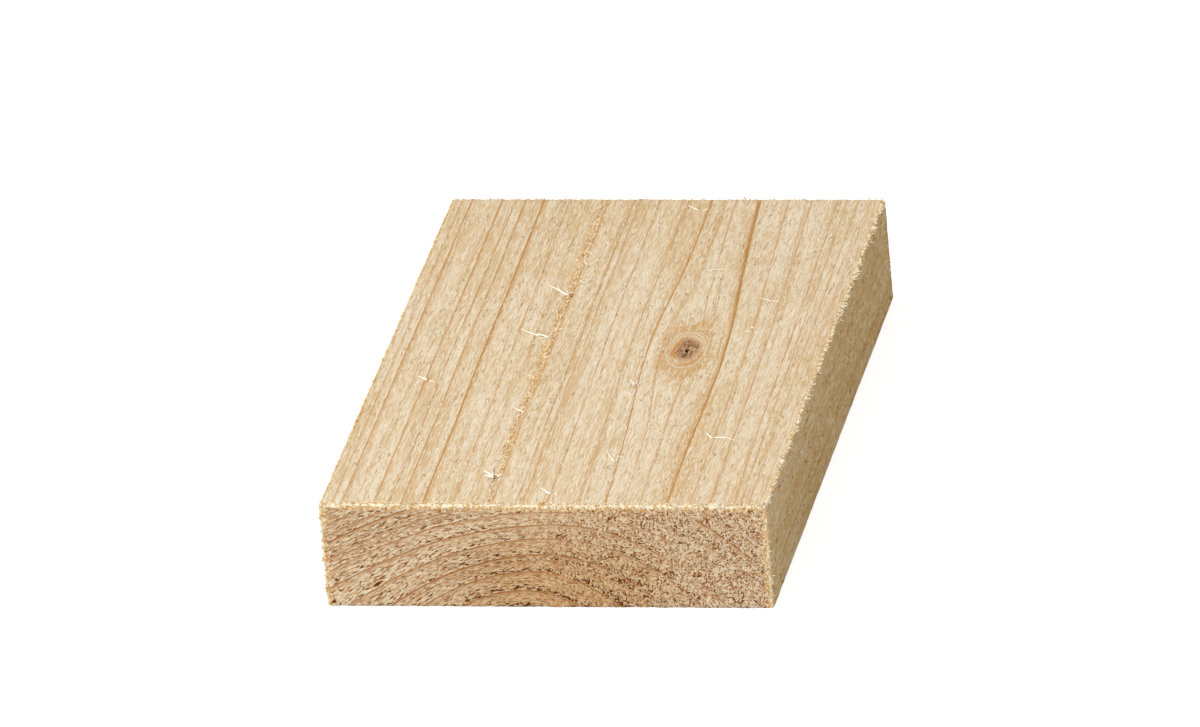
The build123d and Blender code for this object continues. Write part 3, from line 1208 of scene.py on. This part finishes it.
def softwood_material(colours, rings, torn, nap, cross_cut):
    """The plank's finish. Long faces are pale wood with rings, streaks, nap, a torn line
    and the knot, and the narrow ones are tinted. The cross cuts are darker, with torn
    fibre and pits, and with painted shade in their pits and in the gaps between fibres.
    Torn edges show cream fibre over orange-brown wood: the cream is partly a painted
    highlight, near white along the top and kept off the narrow faces, which the lamps light
    less, and the orange is partly painted shade. Tears, checks and the knot's open pith are
    painted darker, as the shade inside them."""
    material, graph = new_material("sawn_softwood")
    grain = graph.attribute("grain", "Vector")
    x, y, z = grain.parts()
    place = graph.value("TexCoord", {}, "Object") * (1 / MM, 1 / MM, 1 / MM)
    torn_face, side, end = (graph.attribute(name) for name in ("torn", "side", "end"))
    spacing = graph.attribute("spacing")
    ring = graph.group(rings, Ring=graph.attribute("ring"), Grain=grain, Spacing=spacing)
    rough = (torn_face * 0.6).larger(ring["Soft"] * 0.12).larger(side * 0.24)
    face = graph.group(nap, Grain=grain, Place=place, Rough=rough)
    cut = graph.group(cross_cut, Grain=grain, Level=graph.attribute("level"), Soft=ring["Soft"])

    # Long faces
    front = side.span(1.0, 0.25)
    broad = (grain / (16.0, 50.0, 16.0)).noise() + y * (0.12 / LENGTH)
    loops = (place / (0.45, 1.1, 0.45)).noise(detail=1.0, distortion=1.4)
    clear = 1.0 - ring["Line"] * 0.75
    figure, cover, stain, lines = knot_colour(graph, colours, torn)
    wood = graph.painted(
        graph.mix(broad.rise(0.38, 0.64), colours.early, colours.early_warm),
        (face["Streak"].rise(0.48, 0.62) * 0.58, colours.streak),
        (face["Wool"].rise(0.46, 0.34) * 0.24, colours.streak),
        (face["Wool"].rise(0.54, 0.66) * 0.24, colours.fibre),
        (ring["Glow"] * front * 0.70, colours.late_glow),
        (ring["Line"] * front * 0.92, colours.late),
        *((abs(x - faint).rise(0.34, 0.10) * 0.55, colours.late) for faint in FAINT_LINES),
        (torn_face * loops.rise(0.56, 0.44).span(0.45, 0.95), colours.torn_gap),
        (torn_face * loops.rise(0.56, 0.64), colours.torn),
        (stain * 0.80, colours.late_glow),
        (lines * 0.4, colours.late_glow),
        (face["Dark"] * 0.50, colours.late_glow),
        (face["Pale"] * clear * 0.60, colours.fibre),
        (cover, figure),
        (face["Fleck"] * 0.60, colours.fleck),
    )
    wood = graph.tinted(side, wood, colours.side)

    # Cross cuts
    warm = (grain / (9.0, 9.0, 5.0)).noise(detail=1.0)
    band = ring["Band"] * cut["Hold"]
    wide = ring["Wide"] * cut["Hold"]
    loose = 1.0 - band * 0.85
    tan = graph.painted(
        graph.mix(cut["Curl"].rise(0.40, 0.60), colours.cut_dark, colours.cut),
        (warm.rise(0.45, 0.65) * 0.30, colours.cut_glow),
        (band * 0.50, colours.cut_glow),
        # The dark gaps are painted shade between the fibres
        (cut["Dark"] * loose * 0.84, colours.cut_gap_shade),
        (cut["Pale"] * loose * 0.80, colours.cut_fibre),
        (wide * 0.90, colours.cut_late),
        # The pits are painted dark as the shade inside them
        (cut["Pit"] * loose * 0.95, colours.pit),
    )
    tan = graph.tinted(near_crown(x) * z.rise(26.0, 6.0) * 0.8, tan, colours.cut_shade)

    # Torn edges, with painted highlight and painted shade, and tears and the knot's pith and checks,
    # painted darker as the shade inside them
    ragged = (place * (1.25, 1.25, 1.25)).noise(roughness=0.6)
    edge = graph.attribute("edge") + ragged.span(-2.2, 2.2)
    blobs = (place * (1.5, 1.5, 1.5)).noise(detail=1.0)
    tuft = graph.mix(blobs.rise(0.50, 0.58), colours.torn_root_and_shade, colours.torn)
    # Painted highlight: the edge band is near white along the top and orange and cream lower down, and
    # the narrow faces, lit less, get none
    upright = place.parts()[2].rise(HIGH[2] - 0.4, HIGH[2] - 1.2)
    cream = graph.mix(upright, colours.torn, tuft)
    tan = graph.painted(
        tan,
        (edge.rise(1.55, 1.05) * 0.85, tuft),
        (edge.rise(0.45, 0.30) * 0.90, colours.torn_tip),
    )
    pith = graph.attribute("pith")
    wood = graph.painted(
        wood,
        # An orange band under the cream, partly painted shade
        (edge.rise(0.85, 0.60) * 0.35, colours.torn_root_and_shade),
        (edge.rise(0.40, 0.20) * ((1.0 - side) * 0.80), cream),
        (end, tan),
        # Tears, painted olive-brown by their depth: partly the torn wood's colour, partly painted shade
        # inside them
        (graph.attribute("pit").rise(0.10, 0.45) * 0.65, colours.splinter_root_and_shade),
        # The deeper the checks and the pith go, the darker they are painted: painted shade inside them
        (pith.rise(0.10, 0.6) * 0.6, colours.pit),
        (pith.rise(0.8, 1.2), colours.pith),
    )
    height = graph.blend(end, face["Height"], cut["Height"])
    finish_shader(graph, wood, face["Wool"].span(0.75, 0.92), height, WOOD_BUMP)
    return material


def torn_fibre_material(name, root_colour, tip_colour, reach=0.75):
    """Torn fibre, from its root's colour to its tip's, which starts at the share reach of
    its length. The darker root is partly the fibre's own colour and partly painted shade,
    where the fibre leaves the wood. A fibre with a high tone keeps more of its root's colour."""
    material, graph = new_material(name)
    colour = graph.painted(
        graph.mix(graph.attribute("tip").rise(0.0, reach), root_colour, tip_colour),
        (graph.attribute("tone").rise(0.50, 0.95) * 0.75, root_colour),
    )
    strands_per_metre = (9000.0, 2500.0, 9000.0)
    strand = (graph.value("TexCoord", {}, "Object") * strands_per_metre).noise()
    finish_shader(graph, colour, FIBRE_ROUGHNESS, strand, FIBRE_BUMP)
    return material


# Stage


def stand(name, data, place, right, up, back):
    """An object at a place in metres, turned to these axes, that the scene shows."""
    made = bpy.data.objects.new(name, data)
    turned = Matrix(np.column_stack((right, up, back)).tolist()).to_4x4()
    made.matrix_world = Matrix.Translation(place.tolist()) @ turned
    bpy.context.scene.collection.objects.link(made)
    return made


def set_camera(view):
    """The camera. It looks along d, with r to its right and u up, all turned by the roll
    about d, and stands so that the plank's middle is off its axis by the two offsets."""
    azimuth, elevation, roll = view.azimuth, view.elevation, view.roll
    level = np.array((-math.sin(azimuth), math.cos(azimuth), 0.0))
    d = level * math.cos(elevation) - np.array((0.0, 0.0, math.sin(elevation)))
    r = np.array((math.cos(azimuth), math.sin(azimuth), 0.0))
    u = np.cross(r, d)
    right = math.cos(roll) * r + math.sin(roll) * u
    up = math.cos(roll) * u - math.sin(roll) * r
    place = MIDDLE * MM - view.offset_right * right - view.offset_up * up - view.distance * d
    data = bpy.data.cameras.new("view")
    data.lens = view.lens
    data.sensor_width = 36.0
    data.clip_start = 0.1
    data.clip_end = 50.0
    bpy.context.scene.camera = stand("view", data, place, right, up, -d)


def background_share(graph):
    """1 for what the camera sees straight, in a reflection or through glass, else 0."""
    path = graph.values("LightPath", {})
    seen = path["Is Camera Ray"].larger(path["Is Glossy Ray"])
    return seen.larger(path["Is Transmission Ray"])


def set_world(stage):
    """An even soft sky that lights the plank, and plain white behind it."""
    world = bpy.data.worlds.new("soft_studio")
    world.use_nodes = True
    world.node_tree.nodes.clear()
    graph = Graph(world.node_tree)
    strength = background_share(graph) * (1.0 - stage.sky) + stage.sky
    sky = graph.value("Background", {"Color": (1, 1, 1), "Strength": strength})
    graph.node("OutputWorld", {"Surface": sky})
    bpy.context.scene.world = world


def set_lamp(name, place, size, watts):
    """A soft square lamp at a place in metres, that faces the plank."""
    data = bpy.data.lights.new(name, "AREA")
    data.shape = "SQUARE"
    data.size = size
    data.energy = watts
    place = np.array(place)
    back = unit(place)
    side = unit(np.cross(UP, back))
    stand(name, data, place, side, np.cross(back, side), back).visible_camera = False


def make_floor(stage):
    """A level disc under the plank, as rings of points whose radius grows evenly."""
    turns, rings = 96, 12
    angle = np.linspace(0, 2 * math.pi, turns, endpoint=False)
    radius = stage.floor_radius / MM * np.arange(1, rings + 1) / rings
    x, y = np.outer(radius, np.cos(angle)), np.outer(radius, np.sin(angle))
    points = np.concatenate((np.zeros((1, 3)), np.stack((x, y, 0 * x), -1).reshape(-1, 3)))
    points[:, 2] = LOW[2]
    index = 1 + np.arange(rings * turns).reshape(rings, turns)
    after = np.roll(index, -1, 1)
    inner = np.stack((np.zeros(turns, int), index[0], after[0]), -1)
    outer = np.stack((index[:-1], index[1:], after[1:], after[:-1]), -1).reshape(-1, 4)
    floor = write_mesh("floor", points, [inner, outer])
    material, graph = new_material("pale_floor")
    matt = graph.value("BsdfDiffuse", {"Color": [stage.floor_tone] * 3})
    lift = background_share(graph) * stage.floor_lift
    glow = graph.value("Emission", {"Color": (1, 1, 1), "Strength": lift})
    graph.node("OutputMaterial", {"Surface": graph.value("AddShader", {0: matt, 1: glow})})
    floor.data.materials.append(material)


# What a user would change


def colour_property(name, description, *shades):
    """A colour whose default is given as 0 to 255 in sRGB."""
    kind = {"subtype": "COLOR", "size": 3, "min": 0.0, "max": 1.0}
    return FloatVectorProperty(
        name=name, description=description, default=linear(*shades), **kind
    )


def measure(name, description, default, **more):
    """A number that a user sees under this name."""
    return FloatProperty(name=name, description=description, default=default, **more)


def amount(name, what):
    """A share of the number of fibres that the plank has as shown."""
    return measure(name, what + ", as a share of the plank shown", 1.0, min=0.0)


class PlankColours(bpy.types.PropertyGroup):
    """Colours of the wood."""

    early: colour_property("Earlywood", "Pale wood of the sawn faces", 236, 217, 186)
    early_warm: colour_property("Warm earlywood", "Warmer patches of the sawn faces", 227, 201, 161)
    streak: colour_property("Streak", "Thin darker streaks and the hollows of the nap", 207, 170, 115)
    late_glow: colour_property("Latewood glow", "Wood that leads up to a latewood line", 209, 161, 99)
    late: colour_property("Latewood", "Latewood lines of the sawn faces", 190, 136, 74)
    fibre: colour_property("Lifted fibre", "Pale fibre lying on the sawn faces", 252, 243, 222)
    fleck: colour_property("Torn fleck", "Small dark flecks torn by the saw", 152, 104, 50)
    side: colour_property("Edge tint", "Tint of the two narrow long faces", 255, 245, 220)
    cut: colour_property("Cross cut", "Lighter wood of the cross cuts", 231, 201, 159)
    cut_dark: colour_property("Cross cut hollows", "Darker wood of the cross cuts", 211, 171, 126)
    cut_glow: colour_property("Cross cut glow", "Wood that leads up to their ring lines", 206, 160, 117)
    cut_late: colour_property("Cross cut ring", "Ring lines of the cross cuts", 166, 108, 62)
    # Painted shade in the gaps between the fibres of the cross cuts
    cut_gap_shade: colour_property("Cross cut gap", "Gaps between the fibres of the cross cuts", 146, 84, 40)
    cut_shade: colour_property("Cross cut shade", "Tint of their lower middle", 236, 216, 188)
    cut_fibre: colour_property("Cross cut fibre", "Pale torn fibre of the cross cuts", 241, 227, 199)
    # Painted shade inside the pits of the cross cuts, the knot's checks and the walls of its pith
    pit: colour_property("Pit", "Inside of pits and checks", 104, 56, 22)
    # Painted shade inside the knot's open pith, near black
    pith: colour_property("Pith", "Inside of the knot's open pith", 24, 14, 8)
    # Also painted near white along the upper edges, partly as a highlight
    torn: colour_property("Torn arris", "Fresh fibre on the worn arrises", 255, 243, 210)
    # Partly the fibre's own orange, partly painted shade at its root and under the cream edge band
    torn_root_and_shade: colour_property("Torn fibre root", "Orange-brown root of a torn fibre", 230, 178, 104)
    torn_tip: colour_property("Torn fibre tip", "Cream tip of a torn fibre", 255, 249, 224)
    torn_gap: colour_property("Torn gap", "Gaps between the tufts of the torn line", 204, 154, 84)
    # Partly the splinter's own colour, partly painted shade at its root and inside the tears
    splinter_root_and_shade: colour_property("Splinter root", "Olive-brown root of a splinter", 150, 110, 58)
    splinter: colour_property("Splinter", "Fresh wood of a splinter", 255, 248, 230)
    knot_heart: colour_property("Knot heart", "Grey-brown heart of the knot", 180, 138, 104)
    knot_edge: colour_property("Knot edge", "Tan wood round the heart", 212, 174, 134)
    knot_dark: colour_property("Knot mottle", "Dark mottle of the knot", 112, 70, 42)
    knot_ring: colour_property("Knot ring", "Orange-brown ring of the knot", 206, 144, 72)


class PlankFibres(bpy.types.PropertyGroup):
    """How much torn fibre there is."""

    fray: amount("Fray", "Tufts on the arrises and the torn line")
    fuzz: amount("End fuzz", "Fibres on the cross cuts")
    nap: amount("Face nap", "Fibres on the sawn faces")


ANGLE = {"subtype": "ANGLE"}
METRES = {"unit": "LENGTH"}
WATTS = {"unit": "POWER"}
SHARE = {"min": 0.0, "max": 1.0}


class PlankView(bpy.types.PropertyGroup):
    """Where the camera stands."""

    azimuth: measure("Azimuth", "How far round to the right it stands", math.radians(12.32), **ANGLE)
    elevation: measure("Elevation", "How far above the floor it stands", math.radians(24.78), **ANGLE)
    roll: measure("Roll", "Its turn about its own axis", math.radians(-5.03), **ANGLE)
    lens: measure("Lens", "Focal length in millimetres on a 36 mm sensor", 568.7)
    distance: measure("Distance", "From it to the plank's middle", 4.2256, **METRES)
    offset_right: measure(
        "Offset right", "Plank's middle right of its axis", 0.00229, precision=5, **METRES
    )
    offset_up: measure(
        "Offset up", "Plank's middle above its axis", -0.00814, precision=5, **METRES
    )


class PlankStage(bpy.types.PropertyGroup):
    """The floor and the light."""

    sky: measure("Sky", "Strength of the even light from all round", 0.64, min=0.0)
    key: measure("Key lamp", "Power of the large lamp over the left shoulder", 5.6, **WATTS)
    fill: measure("Fill lamp", "Power of the soft lamp in front", 4.2, **WATTS)
    floor_radius: measure("Floor radius", "Radius of the floor", 4.0, **METRES)
    floor_tone: measure("Floor tone", "How pale the floor is", 0.45, **SHARE)
    floor_lift: measure("Floor lift", "White that is seen over its own tone", 0.78, **SHARE)


# Operators


class PLANK_OT_stage(bpy.types.Operator):
    """Set up the floor, the soft light and the camera"""

    bl_idname = "plank.stage"
    bl_label = "Stage"

    def execute(self, context):
        stage = context.scene.plank_stage
        set_camera(context.scene.plank_view)
        set_world(stage)
        set_lamp("key", (-0.55, -0.55, 0.85), 0.8, stage.key)
        set_lamp("fill", (-0.25, -1.3, 0.55), 0.8, stage.fill)
        make_floor(stage)
        context.scene.view_settings.view_transform = "Standard"
        return {"FINISHED"}


class PLANK_OT_wood(bpy.types.Operator):
    """Make the plank's own wood, with its rings, knot and sawn surfaces"""

    bl_idname = "plank.wood"
    bl_label = "Wood"

    def execute(self, context):
        colours = context.scene.plank_colours
        torn = stroke_group()
        make_plank(softwood_material(colours, ring_group(), torn, nap_group(torn), end_group(torn)))
        return {"FINISHED"}


class PLANK_OT_arris_fray(bpy.types.Operator):
    """Make the torn tufts along the arrises"""

    bl_idname = "plank.arris_fray"
    bl_label = "Arris fray"

    def execute(self, context):
        colours = context.scene.plank_colours
        material = torn_fibre_material("frayed_fibre", colours.torn_root_and_shade, colours.torn_tip, reach=0.5)
        make_arris_fray(material, context.scene.plank_fibres.fray)
        return {"FINISHED"}


class PLANK_OT_torn_line(bpy.types.Operator):
    """Make the small tufts along the torn ring line"""

    bl_idname = "plank.torn_line"
    bl_label = "Torn line"

    def execute(self, context):
        colours = context.scene.plank_colours
        material = torn_fibre_material("line_fibre", colours.torn_root_and_shade, colours.torn, reach=0.4)
        make_torn_line(material, context.scene.plank_fibres.fray)
        return {"FINISHED"}


class PLANK_OT_end_fuzz(bpy.types.Operator):
    """Make the curled fibres of the cross cuts"""

    bl_idname = "plank.end_fuzz"
    bl_label = "End fuzz"

    def execute(self, context):
        colours = context.scene.plank_colours
        material = torn_fibre_material("cut_fibre", colours.cut_late, colours.cut, reach=0.40)
        make_end_fuzz(material, context.scene.plank_fibres.fuzz)
        return {"FINISHED"}


class PLANK_OT_face_nap(bpy.types.Operator):
    """Make the short nap of the sawn faces"""

    bl_idname = "plank.face_nap"
    bl_label = "Face nap"

    def execute(self, context):
        colours = context.scene.plank_colours
        material = torn_fibre_material("nap_fibre", colours.streak, colours.fibre)
        make_face_nap(material, context.scene.plank_fibres.nap)
        return {"FINISHED"}


class PLANK_OT_splinters(bpy.types.Operator):
    """Make the lifted splinters of the upper face"""

    bl_idname = "plank.splinters"
    bl_label = "Splinters"

    def execute(self, context):
        colours = context.scene.plank_colours
        root, tip = colours.splinter_root_and_shade, colours.splinter
        make_splinters(torn_fibre_material("splinter", root, tip, reach=0.22))
        return {"FINISHED"}


STEPS = (
    PLANK_OT_stage,
    PLANK_OT_wood,
    PLANK_OT_arris_fray,
    PLANK_OT_torn_line,
    PLANK_OT_end_fuzz,
    PLANK_OT_face_nap,
    PLANK_OT_splinters,
)


class PLANK_PT_sidebar(bpy.types.Panel):
    """Lists the plank's steps and values"""

    bl_idname = "PLANK_PT_sidebar"
    bl_label = "Sawn Plank"
    bl_space_type = "VIEW_3D"
    bl_region_type = "UI"
    bl_category = "Plank"

    def draw(self, context):
        layout = self.layout
        for step in STEPS:
            layout.operator(step.bl_idname)
        for name in SETTINGS:
            box = layout.box()
            values = getattr(context.scene, name)
            for field in values.bl_rna.properties:
                if field.identifier not in ("rna_type", "name"):
                    box.prop(values, field.identifier)


SETTINGS = {
    "plank_colours": PlankColours,
    "plank_fibres": PlankFibres,
    "plank_view": PlankView,
    "plank_stage": PlankStage,
}


def register():
    for kind in (*SETTINGS.values(), *STEPS, PLANK_PT_sidebar):
        bpy.utils.register_class(kind)
    for name, kind in SETTINGS.items():
        setattr(bpy.types.Scene, name, PointerProperty(type=kind))


def unregister():
    for name in SETTINGS:
        delattr(bpy.types.Scene, name)
    for kind in reversed((*SETTINGS.values(), *STEPS, PLANK_PT_sidebar)):
        bpy.utils.unregister_class(kind)


def main():
    register()
    for step in STEPS:
        family, name = step.bl_idname.split(".")
        getattr(getattr(bpy.ops, family), name)()


if __name__ == "__main__":
    main()
